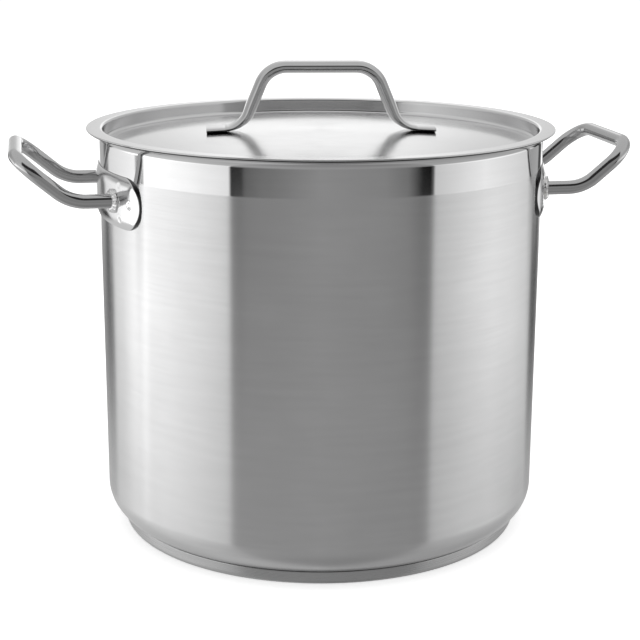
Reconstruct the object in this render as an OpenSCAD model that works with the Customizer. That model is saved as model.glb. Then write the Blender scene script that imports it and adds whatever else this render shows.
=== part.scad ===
// Stock pot with a lift-off lid, millimetres, +Z up.
// The origin is the centre of the underside of the base; the side handles lie on the X axis.

/* [Body] */
// Inside diameter of the pot
inside_d = 300; // [220:5:420]
// Height from the floor it stands on to the top of the rim
rim_top = 277.2; // [180:1:420]
// Sheet thickness of the body
body_sheet = 1; // [0.6:0.1:2]
// Inside radius where the wall turns into the bottom
bottom_corner_r = 20; // [10:1:35]
// Inside radius where the wall flares out to the rim
flare_r = 6; // [3:0.5:10]
// Width of the flat rim beyond the flare
rim_flat = 1.8; // [1:0.1:6]

/* [Base] */
// Thickness of the aluminium disc under the bottom
core_t = 6.2; // [3:0.1:10]
// Sheet thickness of the outer base cap
cap_sheet = 0.8; // [0.5:0.1:1.5]
// How far the base cap stays inside the wall line
cap_inset = 11.4; // [6:0.2:20]
// How far the base cap climbs above the underside of the body
cap_climb = 1.8; // [0.6:0.1:5]
// Outside radius of the cap's bottom edge
cap_edge_r = 3; // [1.5:0.5:5]

/* [Side handles] */
// Outer diameter of the handle tube
tube_d = 9.3; // [7:0.1:14]
// Wall thickness of the handle tube
tube_wall = 1.5; // [0.8:0.1:3]
// Distance between the two legs of a handle, centre to centre
leg_spacing = 98.2; // [70:1:130]
// Depth of the legs' centre line below the rim
leg_drop = 39.1; // [26:0.5:60]
// Distance from the outer wall to where the legs bend upwards
leg_reach = 21.7; // [18:0.5:40]
// Angle at which the grip rises
grip_rise = 40; // [20:1:55]
// Horizontal distance from the wall to the grip's centre line
grip_reach = 55.1; // [45:0.5:80]
// Centre-line radius of the bends in the legs
leg_bend_r = 28.6; // [12:0.5:34]
// Centre-line radius of the two corners of the grip
grip_corner_r = 20.1; // [12:0.5:30]

/* [Handle plates] */
// Arc along the wall from a leg to the centre of the plate's round end
plate_reach = 14; // [10:0.5:24]
// Half of the plate's height
plate_half_h = 17; // [13:0.5:22]
// How far the face of the plate stands off the wall
plate_crown = 2.6; // [1.8:0.1:4]
// Height from the legs' centre line to where the plate's face starts to curve back
plate_face_half_h = 9; // [8.5:0.5:12]
// How far the plate's rim stands off the wall
plate_rim = 0.6; // [0.4:0.1:1.2]
// Diameter of a spot weld
spot_d = 4; // [3:0.5:6]
// Distance from a spot weld back to the straight edge, and to the round end's centre line
spot_inset = 6; // [4:0.5:10]
// Distance of the outer spot weld past the centre of the round end
spot_outset = 7; // [3:0.5:12]
// Depth of the dimple over a spot weld
dimple_depth = 0.4; // [0.2:0.1:0.8]
// Width of the weld bead round a leg
bead_w = 3.35; // [2:0.05:5]
// How far the weld bead climbs the leg
bead_climb = 4; // [2:0.5:7]
// Width of the weld bead's slopes
bead_round = 0.8; // [0.3:0.1:1.5]

/* [Lid] */
// Sheet thickness of the lid
lid_sheet = 1; // [0.6:0.1:2]
// Gap all round between the lid's plug and the pot's wall
lid_clearance = 1; // [0.5:0.1:3]
// How far the lid's flange reaches past the pot's rim
flange_overhang = 1.4; // [0:0.1:4]
// Depth of the lid's recess below its flange, at the edge
recess_depth = 10.4; // [7:0.1:20]
// How far the middle of the lid rises above the edge of the recess
dome_rise = 7.6; // [2:0.1:12]
// Radius at the top of the recess wall
flange_r = 2; // [1.2:0.1:4]
// Radius at the foot of the recess wall
recess_r = 2.5; // [1.5:0.1:5]
// Turn of the lid about the vertical axis, against the side handles
lid_turn = -7; // [-45:1:45]

/* [Lid handle] */
// Length of the lid handle over its two feet
lid_handle_l = 156.2; // [120:1:200]
// Height of the grip's centre line above the middle of the lid
lid_grip_h = 41.8; // [35:0.5:60]
// Distance from the centre to the corner between grip and leg
lid_grip_half = 36.3; // [28:0.5:60]
// Length of a foot, from its end to the corner where the leg rises
lid_foot_l = 24.6; // [20:0.1:40]
// Width of the flattened tube along the grip
grip_w = 22; // [16:0.5:30]
// Thickness of the flattened tube along the grip
grip_t = 8.4; // [5:0.2:12]
// Width of a foot
foot_w = 23.5; // [16:0.5:32]
// Thickness of a foot, where the tube is pressed shut
foot_t = 3.4; // [2:0.2:6]
// Length of a foot that is pressed flat
foot_flat_l = 16; // [12:0.5:24]
// Length over which the tube opens from foot to grip
foot_open_l = 17; // [10:0.5:30]
// Distance from the foot's end to its first pair of spot welds
foot_spot_in = 6; // [4:0.5:10]
// Distance of the paired spot welds from the foot's middle line
foot_spot_side = 6; // [3:0.5:9]
// Distance from the paired spot welds to the single one
foot_spot_pitch = 10; // [6:0.5:12]
// Centre-line radius of the bends beside the grip
lid_top_bend_r = 19.3; // [12:0.5:26]
// Centre-line radius of the bends above the feet
lid_foot_bend_r = 18; // [10:0.5:24]

/* [Hidden] */
$fn = 96;
SPOT_FN = 32;
FACE_FN = 180;
DOME_FN = 720;

steel = [0.78, 0.79, 0.80];
polished = [0.88, 0.89, 0.90];
aluminium = [0.66, 0.67, 0.69];
weld_metal = [0.60, 0.60, 0.61];

// Body
wall_in = inside_d / 2;
wall_out = wall_in + body_sheet;
bottom_z = core_t + cap_sheet;
corner_out = bottom_corner_r + body_sheet;
flare_x = wall_in + flare_r;
flare_z = rim_top - flare_r;
rim_r = flare_x + rim_flat;

// Base
cap_r = wall_out - cap_inset;
cap_h = bottom_z + cap_climb;

// Side handles
tube_r = tube_d / 2;
leg_y = leg_spacing / 2;
bead_r = tube_r + bead_w;
leg_z = rim_top - leg_drop;
bend_x = wall_out + leg_reach;
grip_x = wall_out + grip_reach;
leg_tangent = leg_bend_r * tan(grip_rise / 2);
grip_run = (grip_x - bend_x) / cos(grip_rise);
grip_half = leg_y - grip_corner_r;
// The legs start inside the plate, on its far side, and are trimmed back to its face
root_sink = 1;
leg_root_x = sqrt(pow(wall_out, 2) - pow(leg_y + bead_r, 2)) - root_sink;

// A collar a hair wider than the tube joins each bend to the rising stretch
collar_l = 2;
collar_r = 0.06;

// Plates
plate_arc = asin(leg_y / wall_out) * PI / 180 * wall_out + plate_reach;
plate_turn = plate_arc / wall_out * 180 / PI;
plate_face_x = wall_out + plate_crown;
// The round ends reach a hair past the straight edges
plate_end_lap = 0.1;
plate_end_r = plate_half_h + plate_end_lap;
// The shoulder is an arc that drops from the face to the rim
shoulder_h = plate_half_h - plate_face_half_h;
shoulder_drop = plate_crown - plate_rim;
shoulder_r = (pow(shoulder_h, 2) + pow(shoulder_drop, 2)) / (2 * shoulder_drop);
// Spot welds as arc along the wall from the handle's centre plane, and height from the legs
spot_near = plate_arc - spot_inset;
spot_far = plate_arc + spot_outset;
spot_up = plate_half_h - spot_inset;
SPOTS = [
    [spot_near, spot_up], [spot_near, -spot_up], [spot_far, 0],
    [-spot_near, spot_up], [-spot_near, -spot_up], [-spot_far, 0]
];
dimple_d = spot_d + 1;

// Lid
flange_top = rim_top + lid_sheet;
plug_out = wall_in - lid_clearance;
plug_in = plug_out - lid_sheet;
flange_x = plug_in + flange_r;
flange_z = flange_top - flange_r;
flange_out = rim_r + flange_overhang;
recess_z = flange_top - recess_depth;
recess_x = plug_in - recess_r;
dome_top = recess_z + dome_rise;
dome_r = (pow(recess_x, 2) + pow(dome_rise, 2)) / (2 * dome_rise);

// Lid handle
RING_N = 28;
BEND_N = 9;
FOOT_N = 4;
// Power of the flattened tube's section, between a box at 0 and an ellipse at 1
OVAL_POWER = 0.85;
// How much narrower the very end of a foot is
foot_end_taper = 2;
// Gap that keeps the bend above a foot clear of the lid
foot_lift = 0.2;
// Length left between a foot's flat and the start of its bend
foot_step = 1;
foot_end_x = lid_handle_l / 2;
lid_leg_half = foot_end_x - lid_foot_l;
grip_z = dome_top + lid_grip_h;
foot_spot_x = foot_end_x - foot_spot_in;
LID_SPOTS = [
    [foot_spot_x, foot_spot_side], [foot_spot_x, -foot_spot_side],
    [foot_spot_x - foot_spot_pitch, 0]
];

function dome_z(x) = dome_top - dome_r + sqrt(pow(dome_r, 2) - pow(x, 2));
function unit(v) = v / norm(v);
function mirrored(path) = [for (i = [len(path) - 1 : -1 : 0]) [-path[i].x, path[i].y]];

// Points of the arc of radius r that rounds the corner at b between a and c
function rounded(a, b, c, r, n) =
    let (
        u = unit(a - b),
        v = unit(c - b),
        half = acos(u * v) / 2,
        start = b + u * r / tan(half),
        centre = b + unit(u + v) * r / sin(half),
        from = start - centre,
        side = (u.x * v.y - u.y * v.x) > 0 ? -1 : 1,
        sweep = side * (180 - 2 * half)
    )
    [for (i = [0 : n])
        let (t = sweep * i / n)
        centre + [from.x * cos(t) - from.y * sin(t), from.x * sin(t) + from.y * cos(t)]];

// Centre line of half the lid handle, from the end of a foot to the middle of the grip
foot_end = [foot_end_x, dome_z(foot_end_x) + foot_t / 2];
foot_corner = [lid_leg_half, dome_z(lid_leg_half) + foot_t / 2 + foot_lift];
grip_corner = [lid_grip_half, grip_z];
foot_bend = rounded(foot_end, foot_corner, grip_corner, lid_foot_bend_r, BEND_N);
foot_stop_x = foot_bend[0].x + foot_step;
foot_line = [for (i = [0 : FOOT_N])
    let (x = foot_end_x + (foot_stop_x - foot_end_x) * i / FOOT_N)
    [x, dome_z(x) + foot_t / 2]];
half_line = concat(
    foot_line,
    foot_bend,
    rounded(foot_corner, grip_corner, [0, grip_z], lid_top_bend_r, BEND_N),
    [[lid_grip_half / 4, grip_z]]
);
handle_line = concat(half_line, mirrored(half_line));

function tangent(path, i) =
    unit(path[min(i + 1, len(path) - 1)] - path[max(i - 1, 0)]);

// The tube is pressed flat at the feet and opens out up the legs
function opened(x) =
    let (t = min(1, max(0, (foot_end_x - foot_flat_l - abs(x)) / foot_open_l)))
    t * t * (3 - 2 * t);

function oval(w, t, n) = [for (i = [0 : n - 1])
    let (c = cos(360 * i / n), s = sin(360 * i / n))
    [w / 2 * sign(c) * pow(abs(c), OVAL_POWER), t / 2 * sign(s) * pow(abs(s), OVAL_POWER)]];

function ring(p, along, w, t) = [for (q = oval(w, t, RING_N))
    [p.x - along.y * q.y, q.x, p.y + along.x * q.y]];

module swept_handle(path) {
    last = len(path) - 1;
    points = [for (i = [0 : last])
        let (
            open = opened(path[i].x),
            end = (i == 0 || i == last) ? foot_end_taper : 0
        )
        each ring(
            path[i], tangent(path, i),
            foot_w + (grip_w - foot_w) * open - end,
            foot_t + (grip_t - foot_t) * open - end / 4
        )];
    sides = [for (i = [0 : last - 1]) for (j = [0 : RING_N - 1])
        let (k = (j + 1) % RING_N)
        [i * RING_N + j, i * RING_N + k, (i + 1) * RING_N + k, (i + 1) * RING_N + j]];
    first_end = [for (j = [RING_N - 1 : -1 : 0]) j];
    last_end = [for (j = [0 : RING_N - 1]) last * RING_N + j];
    polyhedron(points, concat(sides, [first_end, last_end]), convexity = 6);
}

// Quarter of a ring between two radii; start is the angle of its first edge
module quarter_ring(r_out, r_in, start) {
    rotate(start)
        difference() {
            intersection() {
                circle(r = r_out);
                square(r_out);
            }
            circle(r = r_in);
        }
}

// Everything inside the outer surface of the body, below the flare
module body_envelope_2d() {
    translate([0, bottom_z])
        square([wall_out - corner_out, corner_out]);
    translate([0, bottom_z + corner_out])
        square([wall_out, flare_z - bottom_z - corner_out]);
    intersection() {
        translate([wall_out - corner_out, bottom_z + corner_out])
            circle(r = corner_out);
        translate([0, bottom_z])
            square([wall_out, corner_out]);
    }
}

// Disc with a rounded bottom edge, seen as half a section
module cup_2d(r, h, edge) {
    square([r - edge, h]);
    translate([0, edge])
        square([r, h - edge]);
    intersection() {
        translate([r - edge, edge])
            circle(r = edge);
        square([r, edge]);
    }
}

module pot_shell_2d() {
    translate([0, bottom_z])
        square([wall_out - corner_out, body_sheet]);
    translate([wall_out - corner_out, bottom_z + corner_out])
        quarter_ring(corner_out, bottom_corner_r, -90);
    translate([wall_in, bottom_z + corner_out])
        square([body_sheet, flare_z - bottom_z - corner_out]);
    translate([flare_x, flare_z])
        quarter_ring(flare_r, flare_r - body_sheet, 90);
    translate([flare_x, rim_top - body_sheet])
        square([rim_flat - body_sheet / 2, body_sheet]);
    translate([rim_r - body_sheet / 2, rim_top - body_sheet / 2])
        circle(d = body_sheet);
}

module lid_pan_2d() {
    translate([flange_x, rim_top])
        square([flange_out - flange_x - lid_sheet / 2, lid_sheet]);
    translate([flange_out - lid_sheet / 2, rim_top + lid_sheet / 2])
        circle(d = lid_sheet);
    translate([flange_x, flange_z])
        quarter_ring(flange_r, flange_r - lid_sheet, 90);
    translate([plug_in, recess_z + recess_r])
        square([lid_sheet, flange_z - recess_z - recess_r]);
    translate([recess_x, recess_z + recess_r])
        quarter_ring(recess_r + lid_sheet, recess_r, -90);
    intersection() {
        translate([0, dome_top - dome_r])
            difference() {
                circle(r = dome_r, $fn = DOME_FN);
                circle(r = dome_r - lid_sheet, $fn = DOME_FN);
            }
        translate([0, recess_z - 2 * lid_sheet])
            square([recess_x, dome_rise + 3 * lid_sheet]);
    }
}

// Places children on the wall: arc and height from the centre of the legs, X pointing outwards
module on_wall(arc, up) {
    rotate([0, 0, arc / wall_out * 180 / PI])
        translate([0, 0, leg_z + up])
            rotate([0, 90, 0])
                children();
}

module spot_holes(grow) {
    for (s = SPOTS)
        on_wall(s.x, s.y)
            translate([0, 0, wall_in - grow])
                cylinder(d = spot_d, h = body_sheet + 2 * grow, $fn = SPOT_FN);
}

module both_sides() {
    children();
    mirror([1, 0, 0])
        children();
}

// Radial section of the plate, from the wall outwards, level with the legs
module plate_section_2d() {
    translate([wall_out, -plate_face_half_h])
        square([plate_crown, 2 * plate_face_half_h]);
    for (up = [0, 1])
        mirror([0, up])
            intersection() {
                translate([plate_face_x - shoulder_r, plate_face_half_h])
                    circle(r = shoulder_r, $fn = FACE_FN);
                translate([wall_out, plate_face_half_h])
                    square([plate_crown, shoulder_h]);
            }
}

// The plate's outline, projected outwards: a wedge between two round ends
module plate_outline() {
    far = 2 * plate_face_x;
    translate([0, 0, leg_z - plate_end_r - 1])
        linear_extrude(height = 2 * plate_end_r + 2)
            polygon([
                [0, 0],
                [far * cos(plate_turn), -far * sin(plate_turn)],
                [far * cos(plate_turn), far * sin(plate_turn)]
            ]);
    for (side = [-1, 1])
        rotate([0, 0, side * plate_turn])
            translate([wall_out / 2, 0, leg_z])
                rotate([0, 90, 0])
                    cylinder(r = plate_end_r, h = wall_out);
}

module handle_plate() {
    difference() {
        intersection() {
            translate([0, 0, leg_z])
                rotate_extrude()
                    plate_section_2d();
            plate_outline();
        }
        for (s = SPOTS)
            on_wall(s.x, s.y)
                translate([0, 0, face_x(s.y) - dimple_depth])
                    cylinder(d = dimple_d, h = plate_crown, $fn = SPOT_FN);
    }
}

// Distance from the pot's axis to the plate's face, at a height from the legs
function face_x(up) =
    let (past = max(0, abs(up) - plate_face_half_h))
    plate_face_x - shoulder_r + sqrt(pow(shoulder_r, 2) - pow(past, 2));

// Everything inside the plate's face, which trims what is welded to it
module inside_face() {
    translate([0, 0, leg_z - 2 * plate_half_h])
        cylinder(r = plate_face_x, h = 4 * plate_half_h, $fn = FACE_FN);
}

// The handle's solid centre line, as thick as r
module handle_bar(r) {
    for (side = [-1, 1]) {
        translate([leg_root_x, side * leg_y, leg_z])
            rotate([0, 90, 0])
                cylinder(r = r, h = bend_x - leg_tangent - leg_root_x);
        translate([bend_x - leg_tangent, side * leg_y, leg_z + leg_bend_r])
            rotate([90, 0, 0])
                rotate([0, 0, -90])
                    rotate_extrude(angle = grip_rise)
                        translate([leg_bend_r, 0])
                            circle(r = r);
    }
    translate([bend_x, 0, leg_z])
        rotate([0, -grip_rise, 0]) {
            for (side = [-1, 1]) {
                translate([leg_tangent - collar_l / 2, side * leg_y, 0])
                    rotate([0, 90, 0])
                        cylinder(r = r + collar_r, h = collar_l);
                translate([leg_tangent + collar_l / 4, side * leg_y, 0])
                    rotate([0, 90, 0])
                        cylinder(r = r, h = grip_run - grip_corner_r - leg_tangent - collar_l / 4);
                translate([grip_run - grip_corner_r, side * grip_half, 0])
                    rotate([0, 0, side > 0 ? 0 : -90])
                        rotate_extrude(angle = 90)
                            translate([grip_corner_r, 0])
                                circle(r = r);
            }
            translate([grip_run, -grip_half, 0])
                rotate([-90, 0, 0])
                    cylinder(r = r, h = 2 * grip_half);
        }
}

module handle() {
    difference() {
        handle_bar(tube_r);
        handle_bar(tube_r - tube_wall);
        inside_face();
    }
}

module weld_bead(side) {
    foot_x = sqrt(pow(plate_face_x, 2) - pow(leg_y, 2)) - leg_root_x;
    difference() {
        translate([leg_root_x, side * leg_y, leg_z])
            rotate([0, 90, 0])
                rotate_extrude()
                    polygon([
                        [tube_r, 0],
                        [bead_r, 0],
                        [bead_r, foot_x + bead_climb / 4],
                        [bead_r - bead_round, foot_x + bead_climb / 2],
                        [tube_r + bead_round, foot_x + bead_climb],
                        [tube_r, foot_x + bead_climb]
                    ]);
        inside_face();
    }
}

module pot_shell() {
    color(steel)
        difference() {
            rotate_extrude()
                pot_shell_2d();
            both_sides()
                spot_holes(1);
        }
}

module base_core() {
    color(aluminium)
        rotate_extrude()
            difference() {
                translate([0, cap_sheet])
                    cup_2d(cap_r - cap_sheet, cap_h - cap_sheet, cap_edge_r - cap_sheet);
                body_envelope_2d();
            }
}

module base_cap() {
    color(steel)
        rotate_extrude()
            difference() {
                cup_2d(cap_r, cap_h, cap_edge_r);
                translate([0, cap_sheet])
                    cup_2d(cap_r - cap_sheet, cap_h, cap_edge_r - cap_sheet);
                body_envelope_2d();
            }
}

module left_handle_plate() {
    color(polished)
        rotate([0, 0, 180])
            handle_plate();
}

module right_handle_plate() {
    color(polished)
        handle_plate();
}

module left_handle() {
    color(polished)
        rotate([0, 0, 180])
            handle();
}

module right_handle() {
    color(polished)
        handle();
}

module left_front_weld() {
    color(weld_metal)
        mirror([1, 0, 0])
            weld_bead(-1);
}

module left_rear_weld() {
    color(weld_metal)
        mirror([1, 0, 0])
            weld_bead(1);
}

module right_front_weld() {
    color(weld_metal)
        weld_bead(-1);
}

module right_rear_weld() {
    color(weld_metal)
        weld_bead(1);
}

module plate_spot_welds() {
    intersection() {
        spot_holes(1);
        translate([0, 0, leg_z - 2 * plate_half_h])
            difference() {
                cylinder(r = wall_out, h = 4 * plate_half_h, $fn = FACE_FN);
                cylinder(r = wall_in, h = 4 * plate_half_h, $fn = FACE_FN);
            }
    }
}

module left_plate_spot_welds() {
    color(weld_metal)
        mirror([1, 0, 0])
            plate_spot_welds();
}

module right_plate_spot_welds() {
    color(weld_metal)
        plate_spot_welds();
}

module lid_spot_columns() {
    rotate([0, 0, lid_turn])
        for (side = [-1, 1])
            for (s = LID_SPOTS)
                translate([side * s.x, s.y, recess_z - lid_sheet])
                    cylinder(d = spot_d, h = dome_rise + 3 * lid_sheet, $fn = SPOT_FN);
}

module lid_pan() {
    color(steel)
        difference() {
            rotate_extrude()
                lid_pan_2d();
            lid_spot_columns();
        }
}

module lid_handle() {
    color(polished)
        rotate([0, 0, lid_turn])
            swept_handle(handle_line);
}

module lid_handle_spot_welds() {
    color(weld_metal)
        intersection() {
            lid_spot_columns();
            rotate_extrude()
                lid_pan_2d();
        }
}

pot_shell();
base_core();
base_cap();
left_handle_plate();
right_handle_plate();
left_handle();
right_handle();
left_front_weld();
left_rear_weld();
right_front_weld();
right_rear_weld();
left_plate_spot_welds();
right_plate_spot_welds();
lid_pan();
lid_handle();
lid_handle_spot_welds();
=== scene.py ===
# %% [markdown]
# # A stock pot, piece by piece
# The pot is spun from stainless sheet, with tube handles welded to crowned plates and a lift-off
# lid. The engineering model already fixes every size, so this lesson only builds the surfaces
# that the eye reads: smooth turned sheet, bent tube, weld metal and brushed or polished steel.
# The frame is loaded first, because every piece made here rides on one of its two bodies.

# %% Load the frame
import math
import bmesh
import bpy
import numpy as np
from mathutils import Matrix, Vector


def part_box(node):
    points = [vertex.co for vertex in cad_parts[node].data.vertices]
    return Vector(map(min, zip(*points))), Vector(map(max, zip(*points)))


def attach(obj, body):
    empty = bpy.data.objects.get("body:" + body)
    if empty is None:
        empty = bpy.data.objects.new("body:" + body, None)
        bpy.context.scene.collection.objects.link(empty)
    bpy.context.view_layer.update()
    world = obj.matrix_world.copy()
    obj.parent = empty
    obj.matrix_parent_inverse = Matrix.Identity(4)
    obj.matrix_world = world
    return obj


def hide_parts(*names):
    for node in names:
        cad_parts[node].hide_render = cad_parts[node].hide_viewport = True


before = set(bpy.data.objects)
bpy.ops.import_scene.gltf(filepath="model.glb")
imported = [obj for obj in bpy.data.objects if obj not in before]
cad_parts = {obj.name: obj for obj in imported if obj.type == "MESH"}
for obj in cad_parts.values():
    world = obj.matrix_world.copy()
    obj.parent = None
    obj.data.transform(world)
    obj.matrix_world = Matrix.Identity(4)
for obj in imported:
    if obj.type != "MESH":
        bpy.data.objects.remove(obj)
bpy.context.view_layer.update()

MM = 0.001
TAU = 2 * math.pi

# %% [markdown]
# ## Sizes
# A reader changes a pot by changing numbers, so the sizes that several pieces share stand here
# in millimetres. Those that the frame can tell are measured from it.

# %% Shared sizes
SHEET, LID_SHEET = 1.0, 1.0
WALL_IN = 150.0
WALL_OUT = WALL_IN + SHEET
RIM_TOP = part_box("pot_shell")[1][2] / MM
RIM_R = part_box("pot_shell")[1][0] / MM
BOTTOM_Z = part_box("pot_shell")[0][2] / MM
LEG_DROP, LEG_Y = 39.1, 49.1
LEG_Z = RIM_TOP - LEG_DROP
PLATE_CROWN = 2.6
PLATE_FACE = WALL_OUT + PLATE_CROWN
TUBE_R = 4.65
LID_TURN = math.radians(-7)
print("rim at", round(RIM_TOP, 1), "mm, radius", round(RIM_R, 1), "mm, legs at", round(LEG_Z, 1))

# %% [markdown]
# ## Small tools for nodes
# Both geometry trees and material trees need arithmetic on sockets. Writing each Math node by
# hand would bury the idea, so one function makes a node and plugs in numbers or sockets.

# %% Node helpers
def plug(tree, value, socket):
    if isinstance(value, bpy.types.NodeSocket):
        tree.links.new(value, socket)
    elif value is not None:
        socket.default_value = value


def calc(tree, operation, a, b=None, c=None):
    node = tree.nodes.new("ShaderNodeMath")
    node.operation = operation
    for socket, value in zip(node.inputs, (a, b, c)):
        plug(tree, value, socket)
    return node.outputs[0]


def vec(tree, x, y, z):
    node = tree.nodes.new("ShaderNodeCombineXYZ")
    for socket, value in zip(node.inputs, (x, y, z)):
        plug(tree, value, socket)
    return node.outputs[0]


def xyz(tree, vector):
    node = tree.nodes.new("ShaderNodeSeparateXYZ")
    tree.links.new(vector, node.inputs[0])
    return node.outputs


def blend_value(tree, share, low, high):
    node = tree.nodes.new("ShaderNodeMapRange")
    plug(tree, share, node.inputs["Value"])
    plug(tree, low, node.inputs["To Min"])
    plug(tree, high, node.inputs["To Max"])
    return node.outputs[0]


def step_value(tree, value, start, end):
    node = tree.nodes.new("ShaderNodeMapRange")
    node.interpolation_type = "SMOOTHSTEP"
    plug(tree, value, node.inputs["Value"])
    plug(tree, start, node.inputs["From Min"])
    plug(tree, end, node.inputs["From Max"])
    return node.outputs[0]


def added_share(tree, start, amount, mask):
    """start, plus amount where the mask is full."""
    return calc(tree, "ADD", start, calc(tree, "MULTIPLY", mask, amount))


def distance_from_axis(tree, x, y):
    return calc(tree, "SQRT", calc(tree, "ADD", calc(tree, "MULTIPLY", x, x),
                                   calc(tree, "MULTIPLY", y, y)))


print("node helpers ready")

# %% [markdown]
# ## Outlines
# Turned sheet is drawn as half a section, as a metal spinner would draw it on the lathe. The
# section is a list of points joined by straight runs and arcs. A long run gets an extra point
# close to each end, so that smooth shading doesn't bend the light along a flat wall.

# %% Outline helpers
def run(start, end, pieces=8, guard=0.4):
    a, b = np.array(start, float), np.array(end, float)
    length = float(np.linalg.norm(b - a))
    near = min(0.3, guard / max(length, guard))
    shares = [0.0, near, *np.linspace(0, 1, pieces + 1)[1:-1], 1 - near, 1.0]
    return [tuple(a + (b - a) * s) for s in sorted(set(shares))]


def arc(centre, radius, start, end, steps):
    angles = np.radians(np.linspace(start, end, steps + 1))
    return [(centre[0] + radius * math.cos(t), centre[1] + radius * math.sin(t)) for t in angles]


def outline(*stretches):
    points = []
    for stretch in stretches:
        for p in stretch:
            if not points or math.dist(p, points[-1]) > 1e-4:
                points.append(p)
    return points


def mesh_object(name, points, edges=(), faces=()):
    mesh = bpy.data.meshes.new(name)
    mesh.from_pydata([tuple(c * MM for c in p) for p in points], list(edges), list(faces))
    obj = bpy.data.objects.new(name, mesh)
    bpy.context.collection.objects.link(obj)
    return obj


def chain_object(name, points):
    return mesh_object(name, points, [(i, i + 1) for i in range(len(points) - 1)])


print("outline helpers ready")

# %% [markdown]
# ## Shared steel effects
# Every steel surface here is grey metal. What tells them apart is how they were finished: the
# wall is brushed round and round, the handles are buffed, and all of them carry faint marks.
# Each effect is one node group, so that every material can use it at its own strength.

# %% Node group sockets
def group_of(name, inputs, outputs):
    tree = bpy.data.node_groups.new(name, "ShaderNodeTree")
    for label, start in inputs:
        socket = tree.interface.new_socket(label, in_out="INPUT", socket_type="NodeSocketFloat")
        socket.default_value = start
    for label in outputs:
        tree.interface.new_socket(label, in_out="OUTPUT", socket_type="NodeSocketFloat")
    return tree, tree.nodes.new("NodeGroupInput"), tree.nodes.new("NodeGroupOutput")


def noise(tree, vector, scale, detail=2.0, rough=0.5):
    node = tree.nodes.new("ShaderNodeTexNoise")
    plug(tree, vector, node.inputs["Vector"])
    plug(tree, scale, node.inputs["Scale"])
    node.inputs["Detail"].default_value = detail
    node.inputs["Roughness"].default_value = rough
    return node.outputs["Fac"]


print("group helpers ready")

# %% [markdown]
# ### Turned grain
# Grit held against a turning pot leaves fine rings. The noise is stretched by giving it a slow
# coordinate round the axis and a fast one along the section. The slow coordinate is the
# direction from the axis, not the angle, so there is no seam where the angle jumps. Close to
# the axis that direction would change too fast, so the distance is held above a small one.

# %% Turned grain group
grain, gin, gout = group_of(
    "Turned grain", [("Lines", 1500.0), ("Around", 5.0)], ["Fine", "Broad"])
place = grain.nodes.new("ShaderNodeTexCoord").outputs["Object"]
px, py, pz = xyz(grain, place)
radius = distance_from_axis(grain, px, py)
NEAREST = 0.004
safe = calc(grain, "MAXIMUM", radius, NEAREST)
turn_x = calc(grain, "MULTIPLY", calc(grain, "DIVIDE", px, safe), gin.outputs["Around"])
turn_y = calc(grain, "MULTIPLY", calc(grain, "DIVIDE", py, safe), gin.outputs["Around"])
section = calc(grain, "ADD", radius, pz)
fast = calc(grain, "MULTIPLY", section, gin.outputs["Lines"])
BROAD_SHARE = 0.09
slow = calc(grain, "MULTIPLY", section,
            calc(grain, "MULTIPLY", gin.outputs["Lines"], BROAD_SHARE))
plug(grain, noise(grain, vec(grain, turn_x, turn_y, fast), 1.0, 3.0, 0.6), gout.inputs["Fine"])
plug(grain, noise(grain, vec(grain, turn_x, turn_y, slow), 1.0, 2.0, 0.5), gout.inputs["Broad"])
print("group", grain.name)

# %% [markdown]
# ### Handling marks
# Buffed steel is never clean: wiping leaves cloudy patches and use leaves hair scratches in all
# directions. Clouds come from soft noise. Scratches are two sets of stretched noise that cross
# each other, cut down to their thin peaks.

# %% Handling marks group
marks, gin, gout = group_of("Handling marks", [("Cloud Size", 30.0)], ["Clouds", "Scratches"])
place = marks.nodes.new("ShaderNodeTexCoord").outputs["Object"]
cloud = noise(marks, place, gin.outputs["Cloud Size"], 4.0, 0.55)
plug(marks, step_value(marks, cloud, 0.35, 0.72), gout.inputs["Clouds"])
scratch = []
for tilt, squeeze in ((0.6, (60.0, 900.0, 900.0)), (2.1, (900.0, 70.0, 800.0))):
    mapping = marks.nodes.new("ShaderNodeMapping")
    marks.links.new(place, mapping.inputs["Vector"])
    mapping.inputs["Rotation"].default_value = (tilt, 0.4 * tilt, tilt)
    mapping.inputs["Scale"].default_value = squeeze
    line = noise(marks, mapping.outputs["Vector"], 1.0, 1.0, 0.4)
    scratch.append(step_value(marks, line, 0.66, 0.74))
plug(marks, calc(marks, "MAXIMUM", *scratch), gout.inputs["Scratches"])
print("group", marks.name)

# %% [markdown]
# ## Materials
# One function makes a steel from its finish. Roughness changes over the surface through the
# groups, while anisotropy is one plain number on the shader. Brushed rings spread a highlight
# across the rings, so the tangent runs round the axis and is turned a quarter.

# %% Steel maker
def used_group(tree, group, **values):
    node = tree.nodes.new("ShaderNodeGroup")
    node.node_tree = group
    for label, value in values.items():
        node.inputs[label.replace("_", " ")].default_value = value
    return node.outputs


def bump(tree, height, distance, strength):
    node = tree.nodes.new("ShaderNodeBump")
    node.inputs["Distance"].default_value = distance
    node.inputs["Strength"].default_value = strength
    plug(tree, height, node.inputs["Height"])
    return node.outputs["Normal"]


def steel_start(name, aniso=0.0):
    material = bpy.data.materials.new(name)
    material.use_nodes = True
    tree = material.node_tree
    shader = tree.nodes["Principled BSDF"]
    shader.inputs["Metallic"].default_value = 1.0
    if aniso:
        shader.inputs["Anisotropic"].default_value = aniso
        shader.inputs["Anisotropic Rotation"].default_value = 0.25
        tangent = tree.nodes.new("ShaderNodeTangent")
        tangent.direction_type = "RADIAL"
        tangent.axis = "Z"
        tree.links.new(tangent.outputs[0], shader.inputs["Tangent"])
    return material, tree, shader


def tint(tree, share, dark, light):
    node = tree.nodes.new("ShaderNodeMix")
    node.data_type = "RGBA"
    plug(tree, share, node.inputs["Factor"])
    node.inputs["A"].default_value = (dark, dark, dark * 1.003, 1)
    node.inputs["B"].default_value = (light, light, light * 1.003, 1)
    return node.outputs["Result"]


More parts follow.
